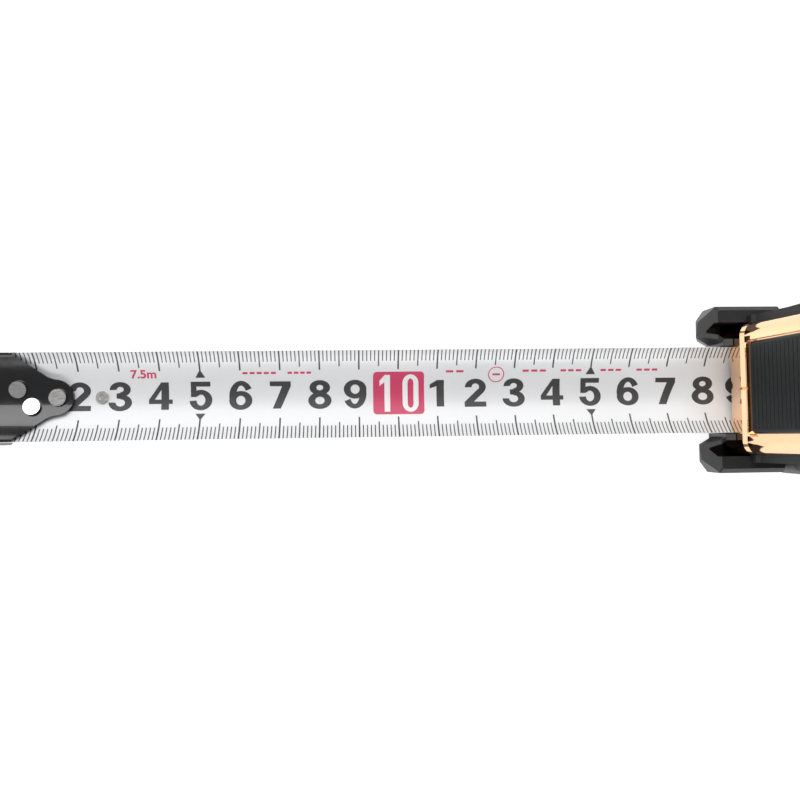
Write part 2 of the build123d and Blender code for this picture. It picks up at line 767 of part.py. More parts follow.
# ---------------------------------------------------------------- lock
with BuildPart() as lock_button:
    middle = button_start + button_length / 2
    with BuildSketch(lean_plane.offset(-recess_depth + slide_gap)):
        with Locations((0, middle)):
            RectangleRounded(2 * button_half_width, button_length, 1.2)
    extrude(amount=recess_depth - slide_gap + button_height)
    front_face = lock_button.faces().sort_by(Axis(lean_plane.origin, lean_plane.z_dir))[-1]
    fillet(front_face.edges(), button_edge_radius)
    rib_count = int((button_length - 3.0) / rib_pitch)
    with BuildSketch(lean_plane.offset(button_height)):
        with Locations((0, middle)):
            with GridLocations(0, rib_pitch, 1, rib_count):
                Rectangle(2 * (button_half_width - rib_inset), rib_pitch / 2)
    extrude(amount=-rib_depth, mode=Mode.SUBTRACT)
    with BuildSketch(lean_plane.offset(-recess_depth + slide_gap)):
        with Locations((0, (neck_start + neck_end) / 2)):
            Rectangle(2 * neck_half_width, neck_end - neck_start)
    extrude(amount=-(case_wall - recess_depth + 2 * slide_gap))
    with BuildSketch(lean_plane.offset(-case_wall - slide_gap)):
        with Locations((0, neck_start + 2.0), (0, neck_end - 2.0)):
            Circle(0.8)
    extrude(amount=2.4, mode=Mode.SUBTRACT)
save(lock_button, "lock_button")

carriage_front = -case_wall - slide_gap
with BuildPart() as lock_carriage:
    arm_top = arm_bottom + arm_thickness
    arm_front = mouth_x + case_wall + ridge_step + free_gap
    plate_end = neck_end + 1.0
    with BuildSketch(lean_plane.offset(carriage_front)):
        with Locations((0, (carriage_foot + plate_end) / 2)):
            Rectangle(2 * carriage_half_width, plate_end - carriage_foot)
    extrude(amount=-carriage_thickness)
    half = carriage_half_width
    block(arm_front, arm_front + carriage_thickness, -half, half, arm_bottom, lean_z + 1.0)
    block(arm_front, pad_back, -half, half, arm_bottom, arm_top)
    with BuildSketch(lean_plane.offset(carriage_front)):
        with Locations((0, neck_start + 2.0), (0, neck_end - 2.0)):
            Circle(0.9)
    extrude(amount=-carriage_thickness, mode=Mode.SUBTRACT)
save(lock_carriage, "lock_carriage")

with BuildPart() as lock_leaf:
    leaf_front = carriage_front - carriage_thickness
    with BuildSketch(lean_plane.offset(leaf_front)):
        with Locations((0, (neck_start + neck_end) / 2)):
            Rectangle(12.0, neck_end - neck_start)
        with Locations((0, neck_start + 2.0), (0, neck_end - 2.0)):
            Circle(0.9, mode=Mode.SUBTRACT)
    extrude(amount=-leaf_thickness)
save(lock_leaf, "lock_leaf")

with BuildPart() as lock_screws:
    leaf_back = leaf_front - leaf_thickness
    with BuildSketch(lean_plane.offset(leaf_back)):
        with Locations((0, neck_start + 2.0), (0, neck_end - 2.0)):
            Circle(1.5)
    extrude(amount=-0.9)
    with BuildSketch(lean_plane.offset(leaf_back)):
        with Locations((0, neck_start + 2.0), (0, neck_end - 2.0)):
            Circle(0.8)
    extrude(amount=leaf_thickness + carriage_thickness + 2.2)
save(lock_screws, "lock_screws")

with BuildPart() as brake_pad:
    block(pad_front, pad_back, -carriage_half_width, carriage_half_width, blade_z, arm_bottom)
    with BuildSketch(Plane.YZ.offset(pad_front - 1)):
        with Locations((0, blade_centre_z)):
            Circle(blade_radius - press_gap)
    extrude(amount=pad_back - pad_front + 2, mode=Mode.INTERSECT)
    groove = (-pad_groove_half, pad_groove_half, blade_z, pad_groove_top)
    block(pad_front - 1, pad_back + 1, *groove, Mode.SUBTRACT)
save(brake_pad, "brake_pad")


# ---------------------------------------------------------------- belt clip
with BuildPart() as belt_clip:
    outer_y = -cover_half_width - clip_thickness
    stand_y = -cover_half_width - clip_gap
    with BuildSketch(Plane.YZ.offset(-clip_half_width)):
        with BuildLine():
            Polyline(
                (-cover_half_width, clip_pad_bottom),
                (-cover_half_width, clip_top),
                (stand_y - clip_thickness, clip_top),
                (stand_y - clip_thickness, clip_bottom + 6),
                (stand_y + 0.6, clip_bottom + 3),
                (stand_y - 1.6, clip_bottom),
                (stand_y - 0.6, clip_bottom - 0.6),
                (stand_y + 2.0, clip_bottom + 3),
                (stand_y, clip_bottom + 7),
                (stand_y, clip_top - clip_thickness),
                (outer_y, clip_top - clip_thickness),
                (outer_y, clip_pad_bottom),
                close=True,
            )
        make_face()
    extrude(amount=2 * clip_half_width)
    disc(stand_y - 3, 3.2, 6, ((0, clip_screw_z),), Mode.SUBTRACT)
    disc(-cover_half_width - 2, screw_radius + 0.1, 3, ((0, clip_screw_z),), Mode.SUBTRACT)
save(belt_clip, "belt_clip")

with BuildPart() as clip_screw:
    disc(outer_y - screw_head_height, screw_head_radius, screw_head_height, ((0, clip_screw_z),))
    disc(outer_y, screw_radius, clip_thickness + 4.0, ((0, clip_screw_z),))
save(clip_screw, "clip_screw")
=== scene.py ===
# %% [markdown]
# # A pocket tape measure, drawn out over a pale bench
#
# The case, the reel, the blade and the hook arrive as ready solids with real sizes.
# What is left for this lesson is everything that the eye meets: the printed scale on
# the hollow blade, the finishes, the light and the camera.

import json
from math import cos, pi, radians, sin

import bmesh
import bpy
from mathutils import Matrix, Vector


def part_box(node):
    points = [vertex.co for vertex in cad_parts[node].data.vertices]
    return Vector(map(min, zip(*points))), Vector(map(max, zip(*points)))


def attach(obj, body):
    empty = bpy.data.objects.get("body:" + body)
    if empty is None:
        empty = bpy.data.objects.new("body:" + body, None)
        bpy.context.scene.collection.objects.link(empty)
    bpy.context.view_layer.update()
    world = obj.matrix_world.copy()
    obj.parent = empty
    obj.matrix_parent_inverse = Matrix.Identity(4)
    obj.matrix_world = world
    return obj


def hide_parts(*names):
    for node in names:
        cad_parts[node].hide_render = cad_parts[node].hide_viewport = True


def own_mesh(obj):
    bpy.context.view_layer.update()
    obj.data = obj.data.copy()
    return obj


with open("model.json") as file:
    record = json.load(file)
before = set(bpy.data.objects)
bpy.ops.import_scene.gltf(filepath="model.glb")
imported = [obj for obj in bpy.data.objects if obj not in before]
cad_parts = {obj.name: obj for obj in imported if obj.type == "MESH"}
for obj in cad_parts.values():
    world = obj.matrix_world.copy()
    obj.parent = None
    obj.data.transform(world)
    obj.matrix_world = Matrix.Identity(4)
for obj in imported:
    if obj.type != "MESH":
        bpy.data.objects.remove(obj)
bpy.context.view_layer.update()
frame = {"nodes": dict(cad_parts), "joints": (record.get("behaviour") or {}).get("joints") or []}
MM = 0.001

print("nodes:", len(frame["nodes"]))

# %% [markdown]
# ## Where things are
#
# Positions are read from the solids, so the print follows if the model changes. The
# zero of the scale is the inner face of the hook's plate, one plate thickness in from
# the hook's outer end. The blade's hollow is an arc; its lowest line and its radius
# place everything that is printed on it.

# %% Find the zero, the mouth and the hollow
HOOK_PLATE = 1.0 * MM
BLADE_THICKNESS = 0.2 * MM
HOLLOW_RADIUS = 14.17 * MM

hook_low = Vector(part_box("hook")[0])
blade_low, blade_high = (Vector(corner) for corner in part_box("blade"))
case_low = Vector(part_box("case_left")[0])

zero_x = hook_low.x + HOOK_PLATE
mouth_x = case_low.x
hollow_bottom = blade_low.z + BLADE_THICKNESS
hollow_centre_z = hollow_bottom + HOLLOW_RADIUS

print(f"drawn out {(mouth_x - zero_x) / MM:.1f} mm, hollow bottom {hollow_bottom / MM:.2f} mm")

# %% [markdown]
# ## Camera
#
# The camera hangs over the blade, a hand's width ahead of the case, and looks almost
# straight down with a slight tilt. Its place is counted from the mouth and from the
# blade's lowest line. A lens of about 37 mm on a 36 mm sensor gives the gentle perspective in
# which the case leans away to the right.

# %% Place the camera
EYE_AHEAD_OF_MOUTH = 97.1 * MM
EYE_ASIDE = -10.7 * MM
EYE_HEIGHT = 209.3 * MM
EYE_TURN = (radians(2.56), radians(-3.27), radians(-0.77))
SENSOR_WIDTH = 36.0
LENS = 36.77

camera_data = bpy.data.cameras.new("camera")
camera_data.sensor_width = SENSOR_WIDTH
camera_data.lens = LENS
camera_data.clip_start = 0.01
camera_data.clip_end = 20.0
camera = bpy.data.objects.new("camera", camera_data)
camera.location = (mouth_x - EYE_AHEAD_OF_MOUTH, EYE_ASIDE, hollow_bottom + EYE_HEIGHT)
camera.rotation_euler = EYE_TURN
bpy.context.scene.collection.objects.link(camera)
bpy.context.scene.camera = camera

# %% [markdown]
# ## Node helpers
#
# A finish is a small network of nodes. Writing `noise * 0.2 + 0.4` reads better than
# three Math nodes, so one class wraps a socket and turns the operators into nodes. A
# second helper adds any other node from its type, its settings and its inputs.


# %% Write shader maths as expressions
class Value:
    """A number that varies over a surface, as the output socket of a node."""

    def __init__(self, finish, socket):
        self.finish = finish
        self.socket = socket

    def _math(self, operation, a, b):
        made = self.finish.node("ShaderNodeMath", {"operation": operation}, {0: a, 1: b})
        return Value(self.finish, made.outputs[0])

    def __add__(self, other):
        return self._math("ADD", self, other)

    def __mul__(self, other):
        return self._math("MULTIPLY", self, other)


class Finish:
    """One material, with its Principled shader and the nodes that feed it."""

    def __init__(self, name, **constants):
        self.material = bpy.data.materials.new(name)
        self.material.use_nodes = True
        self.tree = self.material.node_tree
        self.shader = self.tree.nodes["Principled BSDF"]
        self.place = self.node("ShaderNodeTexCoord").outputs["Object"]
        for socket, value in constants.items():
            self.shader.inputs[socket.replace("_", " ")].default_value = value

    def node(self, kind, settings=None, inputs=None):
        made = self.tree.nodes.new(kind)
        for key, value in (settings or {}).items():
            setattr(made, key, value)
        for key, value in (inputs or {}).items():
            self.feed(made.inputs[key], value)
        return made

    def feed(self, socket, value):
        if isinstance(value, Value):
            self.tree.links.new(value.socket, socket)
        elif isinstance(value, bpy.types.NodeSocket):
            self.tree.links.new(value, socket)
        else:
            socket.default_value = value

    def noise(self, scale, detail=2.0, roughness=0.5, stretch=(1, 1, 1)):
        """Soft blotches; scale is in blotches per metre, stretch turns them to streaks."""
        place = self.node("ShaderNodeMapping", None, {"Vector": self.place, "Scale": stretch})
        inputs = {
            "Vector": place.outputs[0], "Scale": scale, "Detail": detail, "Roughness": roughness,
        }
        return Value(self, self.node("ShaderNodeTexNoise", None, inputs).outputs["Fac"])

    def cells(self, scale):
        """Distance to the nearest of many scattered points: a grain."""
        inputs = {"Vector": self.place, "Scale": scale}
        return Value(self, self.node("ShaderNodeTexVoronoi", None, inputs).outputs["Distance"])

    def blend(self, share, first, second):
        """A colour between two, by a share from 0 to 1."""
        inputs = {"Factor": share, 6: first, 7: second}
        made = self.node("ShaderNodeMix", {"data_type": "RGBA"}, inputs)
        return made.outputs[2]

    def bump(self, height, distance, strength=1.0):
        """Raises or sinks the surface by a height from 0 to 1 times a distance in metres."""
        inputs = {"Height": height, "Distance": distance, "Strength": strength}
        return self.node("ShaderNodeBump", None, inputs).outputs[0]

    def set(self, **sockets):
        for socket, value in sockets.items():
            self.feed(self.shader.inputs[socket.replace("_", " ")], value)
        return self


def rgb(red, green, blue):
    return (red, green, blue, 1.0)


# %% [markdown]
# ## Blade and inks
#
# The blade is thin steel under a white lacquer: nearly white, a little glossy, with a
# faint waviness that breaks up long highlights. The inks sit on the lacquer as a film a
# few hundredths of a millimetre thick, slightly duller than it.


# %% Mix the lacquer and the inks
def lacquer():
    finish = Finish("white_lacquer", IOR=1.5, Coat_Roughness=0.12, Coat_IOR=1.5)
    haze = finish.noise(60.0, 3.0)
    streaks = finish.noise(700.0, 2.0, stretch=(0.05, 1, 1))
    colour = finish.blend(haze, rgb(0.76, 0.765, 0.775), rgb(0.83, 0.832, 0.84))
    height = finish.noise(2500.0, 1.0) * 0.5 + streaks * 0.5
    return finish.set(
        Base_Color=colour,
        Roughness=haze * 0.10 + 0.30,
        Coat_Weight=0.25,
        Normal=finish.bump(height, 0.01 * MM, 0.4),
    )


def ink(name, deep, pale, roughness):
    finish = Finish(name, IOR=1.48)
    grain = finish.noise(9000.0, 2.0)
    wear = finish.noise(240.0, 4.0)
    colour = finish.blend(grain * 0.4 + wear * 0.4, deep, pale)
    return finish.set(
        Base_Color=colour,
        Roughness=wear * 0.12 + roughness,
        Normal=finish.bump(grain, 0.004 * MM, 0.5),
    )


blade_finish = lacquer()
black_ink = ink("black_ink", rgb(0.040, 0.039, 0.040), rgb(0.070, 0.068, 0.068), 0.42)
red_ink = ink("red_ink", rgb(0.56, 0.045, 0.120), rgb(0.69, 0.075, 0.165), 0.40)
white_ink = ink("white_ink", rgb(0.84, 0.82, 0.82), rgb(0.92, 0.91, 0.91), 0.40)

# %% [markdown]
# ## Metals
#
# Four metals meet on this tool: the mirror plating of the shell, bright nickel on the
# rivets, plain rolled steel inside and black painted steel on the clip. Plating is
# never perfectly flat, so a slow, shallow bump bends its reflections a little.


# %% Mix the metals
def plating():
    finish = Finish("rose_gold_plating", Metallic=1.0)
    slow = finish.noise(90.0, 2.0)
    haze = finish.noise(420.0, 4.0)
    colour = finish.blend(slow, rgb(0.90, 0.55, 0.32), rgb(0.95, 0.62, 0.38))
    return finish.set(
        Base_Color=colour,
        Roughness=haze * 0.05 + 0.045,
        Normal=finish.bump(slow, 0.05 * MM, 0.5),
    )


def steel(name, dark, light, roughness, stretch=(1, 1, 0.06)):
    finish = Finish(name, Metallic=1.0)
    brushed = finish.noise(2600.0, 3.0, stretch=stretch)
    return finish.set(
        Base_Color=finish.blend(brushed, dark, light),
        Roughness=brushed * 0.16 + roughness,
        Normal=finish.bump(brushed, 0.01 * MM, 0.6),
    )


gold_finish = plating()
rivet_finish = steel(
    "bright_nickel", rgb(0.74, 0.72, 0.68), rgb(0.92, 0.91, 0.88), 0.20, (0.2, 1, 1),
)
steel_finish = steel("rolled_steel", rgb(0.42, 0.42, 0.43), rgb(0.62, 0.62, 0.63), 0.30)
spring_finish = steel("blued_spring_steel", rgb(0.14, 0.16, 0.22), rgb(0.28, 0.31, 0.38), 0.28)
screw_finish = steel("blackened_screw", rgb(0.035, 0.035, 0.038), rgb(0.09, 0.09, 0.095), 0.34)

# %% [markdown]
# ## Plastics, rubber and paint
#
# The dark parts differ mostly in how they scatter light. Rubber is soft and grainy,
# the bumper is a harder nylon with a satin skin, the side covers have a sparked mould
# texture, and the hook's black paint is glossy enough to mirror the lamps.


# %% Mix the dark finishes
def moulded(name, dark, light, roughness, grain_scale, grain_depth, ior=1.42):
    finish = Finish(name, IOR=ior)
    blotches = finish.noise(160.0, 4.0)
    grain = finish.cells(grain_scale)
    fine = finish.noise(grain_scale * 1.7, 2.0)
    height = grain * 0.7 + fine * 0.3
    return finish.set(
        Base_Color=finish.blend(blotches, dark, light),
        Roughness=blotches * 0.14 + roughness,
        Normal=finish.bump(height, grain_depth, 0.7),
    )


def gloss_paint():
    finish = Finish("gloss_black_paint", IOR=1.5, Coat_Roughness=0.04, Coat_IOR=1.5)
    slow = finish.noise(220.0, 3.0)
    rubs = finish.noise(900.0, 5.0, 0.7, stretch=(0.3, 1, 1))
    return finish.set(
        Base_Color=finish.blend(rubs, rgb(0.003, 0.003, 0.0035), rgb(0.008, 0.008, 0.009)),
        Roughness=rubs * 0.18 + 0.14,
        Coat_Weight=0.8,
        Normal=finish.bump(slow, 0.04 * MM, 0.5),
    )


rubber_finish = moulded(
    "elastomer", rgb(0.010, 0.010, 0.011), rgb(0.018, 0.018, 0.020), 0.46, 4200.0, 0.03 * MM,
)
nylon_finish = moulded(
    "bumper_nylon", rgb(0.013, 0.013, 0.014), rgb(0.028, 0.028, 0.030), 0.30, 5200.0, 0.02 * MM,
)
cover_finish = moulded(
    "sparked_cover", rgb(0.050, 0.052, 0.056), rgb(0.078, 0.080, 0.085), 0.46, 3600.0, 0.03 * MM,
)
guide_finish = moulded(
    "dark_acetal", rgb(0.050, 0.052, 0.055), rgb(0.085, 0.087, 0.090), 0.38, 6000.0, 0.01 * MM,
)
button_finish = moulded(
    "button_nylon", rgb(0.004, 0.005, 0.005), rgb(0.009, 0.010, 0.011), 0.34, 6000.0, 0.01 * MM,
    ior=1.32,
)
reel_finish = moulded(
    "natural_acetal", rgb(0.60, 0.60, 0.57), rgb(0.72, 0.72, 0.69), 0.38, 5000.0, 0.01 * MM,
)
badge_finish = moulded(
    "badge_satin", rgb(0.22, 0.22, 0.23), rgb(0.30, 0.30, 0.31), 0.34, 7000.0, 0.008 * MM,
)
clip_finish = moulded(
    "clip_paint", rgb(0.020, 0.020, 0.022), rgb(0.036, 0.036, 0.038), 0.30, 5000.0, 0.01 * MM,
)
hook_finish = gloss_paint()

# %% [markdown]
# ## Dress the solids
#
# Each solid keeps its mesh and gets a finish in its slot. Listing the pairs in one
# place makes it easy to see that nothing was left bare.

# %% Put the finishes on the solids
DRESS = {
    gold_finish: ("case_left", "case_right"),
    cover_finish: ("side_cover_left", "side_cover_right"),
    rubber_finish: ("grip_left", "grip_right", "base_pad", "mouth_cushion", "brake_pad"),
    nylon_finish: ("front_bumper",),
    guide_finish: ("mouth_guide", "spindle", "lock_carriage"),
    button_finish: ("lock_button",),
    badge_finish: ("badge",),
    reel_finish: ("reel_drum", "reel_cover"),
    blade_finish: ("blade", "blade_coil"),
    steel_finish: ("reel_washers", "tip_plate", "lock_screws"),
    spring_finish: ("power_spring", "lock_leaf"),
    screw_finish: ("case_screws", "spindle_screw", "clip_screw"),
    clip_finish: ("belt_clip",),
    rivet_finish: ("hook_rivets", "stop_eyelet"),
    hook_finish: ("hook",),
}

dressed = set()
for finish, names in DRESS.items():
    for name in names:
        mesh = frame["nodes"][name].data
        mesh.materials.clear()
        mesh.materials.append(finish.material)
        dressed.add(name)
print("undressed:", sorted(set(frame["nodes"]) - dressed))

# %% [markdown]
# ## The blade that draws in
#
# The real blade bends on to its reel. Here the drawn-out strip is one piece, a copy of the blade
# solid, hung with the printed pieces from an empty for the blade's end. The share of its length
# that would stay when the blade slides in is worked out and printed; the strip itself is not
# shortened here. A copy of the solid can be shortened where the solid itself may not.


# %% Make the strip and a way to hang pieces from the blade's end
slide = next(joint for joint in frame["joints"] if joint["name"] == "blade_slide")
travel = slide["range_m"][1]
strip_length = blade_high.x - blade_low.x
STRIP_KEEP = 1.0 - travel / strip_length


def draws_in(piece):
    """The piece hangs from the blade's end and gets a mesh of its own."""
    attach(piece, "blade_end")
    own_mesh(piece)
    return piece


def piece_from(name, mesh, finish):
    """A finished mesh becomes an object in the scene with one material."""
    mesh.materials.clear()
    mesh.materials.append(finish.material)
    made = bpy.data.objects.new(name, mesh)
    bpy.context.scene.collection.objects.link(made)
    return made


strip_mesh = frame["nodes"]["blade"].data.copy()
strip = draws_in(piece_from("blade_strip", strip_mesh, blade_finish))
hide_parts("blade")
print(f"strip keeps {STRIP_KEEP:.3f} of its length when drawn in")

# %% [markdown]
# ## Printing on a hollow surface
#
# The artwork is laid out flat first: along the strip in millimetres from the zero, and
# across it in millimetres round the hollow from its middle line. Each mark is a thin
# closed slab. The whole sheet is then cut along lines of equal height, so that it can
# bend, and rolled into the hollow by one formula.

# %% Lay out flat and roll into the hollow
FILM_LIFT = 0.012 * MM
FILM_THICKNESS = 0.018 * MM
BEND_STEP = 0.8


class Artwork:
    """Flat marks in millimetres: x from the zero, y across the hollow, z from 0 to 1."""

    def __init__(self):
        self.bm = bmesh.new()

    def slab(self, x0, x1, y0, y1, corner=0.0):
        """A rectangle, with round corners if asked."""
        place = Matrix.Translation(((x0 + x1) / 2, (y0 + y1) / 2, 0.5))
        size = Matrix.Diagonal((x1 - x0, y1 - y0, 1.0, 1.0))
        made = bmesh.ops.create_cube(self.bm, size=1.0, matrix=place @ size)["verts"]
        if corner:
            edges = {e for v in made for e in v.link_edges}
            upright = [e for e in edges if abs(e.verts[0].co.z - e.verts[1].co.z) > 0.5]
            bmesh.ops.bevel(
                self.bm, geom=upright, offset=corner, segments=5,
                affect="EDGES", profile=0.5, material=-1,
            )

    def ribbon(self, segments, place):
        """A strip of quads whose corners are placed by a rule, raised to a slab."""
        flat = bmesh.new()
        bmesh.ops.create_grid(flat, x_segments=segments, y_segments=1, size=0.5)
        for vert in flat.verts:
            x, y = place(vert.co.x + 0.5, vert.co.y + 0.5)
            vert.co = (x, y, 0.0)
        bmesh.ops.remove_doubles(flat, verts=flat.verts, dist=0.0005)
        risen = bmesh.ops.extrude_face_region(flat, geom=flat.faces[:], use_keep_orig=True)
        tops = [part for part in risen["geom"] if isinstance(part, bmesh.types.BMVert)]
        bmesh.ops.translate(flat, verts=tops, vec=(0, 0, 1))
        mesh = bpy.data.meshes.new("stroke")
        flat.to_mesh(mesh)
        flat.free()
        self.bm.from_mesh(mesh)
        bpy.data.meshes.remove(mesh)

    def quad(self, x, y, corners):
        """A straight stroke given by its four corners, counted from x and y."""
        (ax, ay), (bx, by), (cx, cy), (dx, dy) = corners

        def place(along, across):
            low_x = ax + (bx - ax) * along
            low_y = ay + (by - ay) * along
            high_x = dx + (cx - dx) * along
            high_y = dy + (cy - dy) * along
            return x + low_x + (high_x - low_x) * across, y + low_y + (high_y - low_y) * across

        self.ribbon(1, place)

    def bow(self, x, y, wide, high, start, end, side, level):
        """An oval stroke from one angle to another; side and level are its thicknesses."""

        def place(along, across):
            angle = radians(start + (end - start) * along)
            return (
                x + (wide - (1 - across) * side) * cos(angle),
                y + (high - (1 - across) * level) * sin(angle),
            )

        self.ribbon(max(6, round(abs(end - start) / 9)), place)

    def pointer(self, x, base_y, tip_y, width):
        """A triangle whose point looks across the blade."""
        made = bmesh.ops.create_cone(
            self.bm, cap_ends=True, segments=3, radius1=1.0, radius2=1.0, depth=1.0,
            matrix=Matrix.Translation((0, 0, 0.5)),
        )["verts"]
        ends = sorted(made, key=lambda v: v.co.y)
        highest = ends[-1].co.y
        lowest = ends[0].co.y
        widest = max(v.co.x for v in made)
        for vert in made:
            share = (vert.co.y - lowest) / (highest - lowest)
            vert.co.x = x + vert.co.x / widest * width / 2
            vert.co.y = base_y + share * (tip_y - base_y)

    def ring(self, x, y, outer, inner):
        """A flat ring."""
        rims = []
        for radius in (outer, inner):
            place = Matrix.Translation((x, y, 0))
            made = bmesh.ops.create_circle(self.bm, segments=40, radius=radius, matrix=place)
            rims += list({e for v in made["verts"] for e in v.link_edges})
        faces = bmesh.ops.bridge_loops(self.bm, edges=rims)["faces"]
        risen = bmesh.ops.extrude_face_region(self.bm, geom=faces, use_keep_orig=True)["geom"]
        tops = [g for g in risen if isinstance(g, bmesh.types.BMVert)]
        bmesh.ops.translate(self.bm, verts=tops, vec=(0, 0, 1))

    def text(self, words, x, y, width, height):
        """Lettering stretched to a width and height, centred on x and y."""
        curve = bpy.data.curves.new("lettering", "FONT")
        curve.body = words
        curve.resolution_u = 6
        curve.offset = 0.028
        curve.extrude = 0.5
        shaper = bpy.data.objects.new("lettering", curve)
        bpy.context.scene.collection.objects.link(shaper)
        bpy.context.view_layer.update()
        evaluated = shaper.evaluated_get(bpy.context.evaluated_depsgraph_get())
        mesh = bpy.data.meshes.new_from_object(evaluated)
        bpy.data.objects.remove(shaper)
        low_x = min(v.co.x for v in mesh.vertices)
        high_x = max(v.co.x for v in mesh.vertices)
        low_y = min(v.co.y for v in mesh.vertices)
        high_y = max(v.co.y for v in mesh.vertices)
        shift = Matrix.Translation((-(low_x + high_x) / 2, -(low_y + high_y) / 2, 0.5))
        size = Matrix.Diagonal((width / (high_x - low_x), height / (high_y - low_y), 1, 1))
        mesh.transform(Matrix.Translation((x, y, 0)) @ size @ shift)
        self.bm.from_mesh(mesh)
        bpy.data.meshes.remove(mesh)

    def rolled(self, name, finish, layer=0):
        """Cuts the sheet, rolls it into the hollow and makes it a piece of the blade."""
        bm = self.bm
        bmesh.ops.remove_doubles(bm, verts=bm.verts, dist=0.0005)
        height = -13.0
        while height < 13.0:
            everything = list(bm.verts) + list(bm.edges) + list(bm.faces)
            bmesh.ops.bisect_plane(
                bm, geom=everything, dist=0.0001, plane_co=(0, height, 0), plane_no=(0, 1, 0),
            )
            height += BEND_STEP
        bmesh.ops.triangulate(bm, faces=bm.faces)
        lift = FILM_LIFT + layer * (FILM_THICKNESS + 0.004 * MM)
        for vert in bm.verts:
            angle = vert.co.y * MM / HOLLOW_RADIUS
            radius = HOLLOW_RADIUS - lift - vert.co.z * FILM_THICKNESS
            x = zero_x + vert.co.x * MM
            vert.co = (x, radius * sin(angle), hollow_centre_z - radius * cos(angle))
        bmesh.ops.recalc_face_normals(bm, faces=bm.faces)
        mesh = bpy.data.meshes.new(name)
        bm.to_mesh(mesh)
        bm.free()
        print(name, "faces", len(mesh.polygons))
        return draws_in(piece_from(name, mesh, finish))


# %% [markdown]
# ## The scale
#
# A millimetre scale needs three lengths of line so that the eye can count: short for
# each millimetre, longer at five and longest at ten. Both edges carry one. Centimetre
# figures run along the middle and show only their last digit after ten, and every
# tenth centimetre is reversed out of a red block. Small pointers mark the fives.

# %% Draw the lines
SCALE_START = 2
SCALE_END = 203
LINE_UPPER = {"mm": (9.0, 12.4), "five": (7.5, 12.4), "ten": (6.6, 12.4)}
LINE_LOWER = {"mm": (-12.4, -8.3), "five": (-12.45, -7.3), "ten": (-12.45, -5.9)}
LINE_WIDTH = {"mm": 0.26, "five": 0.31, "ten": 0.40}

lines = Artwork()
for mark in range(SCALE_START, SCALE_END):
    kind = "ten" if mark % 10 == 0 else "five" if mark % 5 == 0 else "mm"
    half = LINE_WIDTH[kind] / 2
    for low, high in (LINE_UPPER[kind], LINE_LOWER[kind]):
        lines.slab(mark - half, mark + half, low, high)
lines.rolled("scale_lines", black_ink)

# %% [markdown]
# ## The figures
#
# The figures are heavy and plain. Each is put together from straight strokes and oval
# bows in a box of 6 by 7.4 mm, thicker down the sides than across. The nine is the six
# turned half round.

# %% Draw the figures and the pointers
STEM = 1.75                 # strokes down the sides
BEAM = 1.22                 # strokes across
FIGURE_MIDDLE = 0.12
NINE_SHIFT = -1.0           # the nine stands aside for the red block

QUADS = {
    1: (((-0.1, -3.45), (1.83, -3.45), (1.83, 3.45), (-0.1, 3.45)),
        ((-1.83, 1.3), (0.1, 1.95), (0.1, 3.45), (-1.83, 2.35))),
    2: (((0.72, 1.05), (-2.85, -2.3), (-0.5, -2.3), (2.16, 0.2)),
        ((-2.85, -3.6), (2.75, -3.6), (2.75, -2.25), (-2.85, -2.25))),
    3: (((-1.0, -0.45), (0.2, -0.6), (0.2, 0.95), (-1.0, 0.8)),),
    4: (((0.15, -3.5), (2.05, -3.5), (2.05, 3.5), (0.15, 3.5)),
        ((-2.95, -1.95), (0.15, -1.95), (0.15, -0.85), (-2.95, -0.85)),
        ((2.05, -1.95), (2.95, -1.95), (2.95, -0.85), (2.05, -0.85)),
        ((-2.95, -0.85), (-1.5, -0.85), (0.15, 1.6), (0.15, 3.5))),
    5: (((-2.5, 2.35), (2.4, 2.35), (2.4, 3.6), (-2.5, 3.6)),
        ((-2.5, -0.3), (-1.1, -0.3), (-1.1, 3.5), (-2.5, 3.5))),
    7: (((-2.65, 2.3), (2.65, 2.2), (2.65, 3.5), (-2.65, 3.5)),
        ((-1.95, -3.5), (0.1, -3.5), (2.65, 2.3), (0.5, 2.4))),
}
SIX = ((0.0, -1.3, 2.9, 2.42, 0, 360), (0.12, -0.2, 3.02, 3.92, 30, 188))
BOWS = {
    2: ((0.0, 1.55, 2.72, 2.15, 182, -38),),
    3: ((-0.05, 1.8, 2.6, 1.9, 184, -90), (-0.05, -1.58, 2.9, 2.14, 90, -184)),
    5: ((0.0, -1.1, 2.85, 2.62, 140, -176),),
    6: SIX,
    8: ((0.0, 1.8, 2.62, 1.92, 0, 360), (0.0, -1.52, 2.95, 2.2, 0, 360)),
    9: tuple((-x, -y, wide, high, start + 180, end + 180) for x, y, wide, high, start, end in SIX),
}

figures = Artwork()
for centimetre in range(2, 20):
    digit = centimetre % 10
    x = centimetre * 10 + (NINE_SHIFT if digit == 9 else 0.0)
    for corners in QUADS.get(digit, ()):
        figures.quad(x, FIGURE_MIDDLE, corners)
    for bow_x, bow_y, wide, high, start, end in BOWS.get(digit, ()):
        figures.bow(x + bow_x, FIGURE_MIDDLE + bow_y, wide, high, start, end, STEM, BEAM)
for mark in (50, 150):
    figures.pointer(mark, 4.75, 6.9, 2.5)
    figures.pointer(mark, -4.5, -6.3, 2.5)
figures.rolled("scale_figures", black_ink)

# %% [markdown]
# ## Red marks
#
# The block at ten centimetres is a rounded rectangle with tall white figures over it.
# Along the upper edge run small red marks. The length is a plain fact and stays; the
# others are stand-ins: plain bars and a ring, which say nothing.

# %% Draw the red marks
RED_BLOCK = (93.6, 106.7, -5.3, 5.9)
BAR_LOW = 5.55
BAR_HIGH = 6.15
BAR_SHARE = 0.72            # of the step between two bars
RING_MIDDLE = (125.35, 4.95)

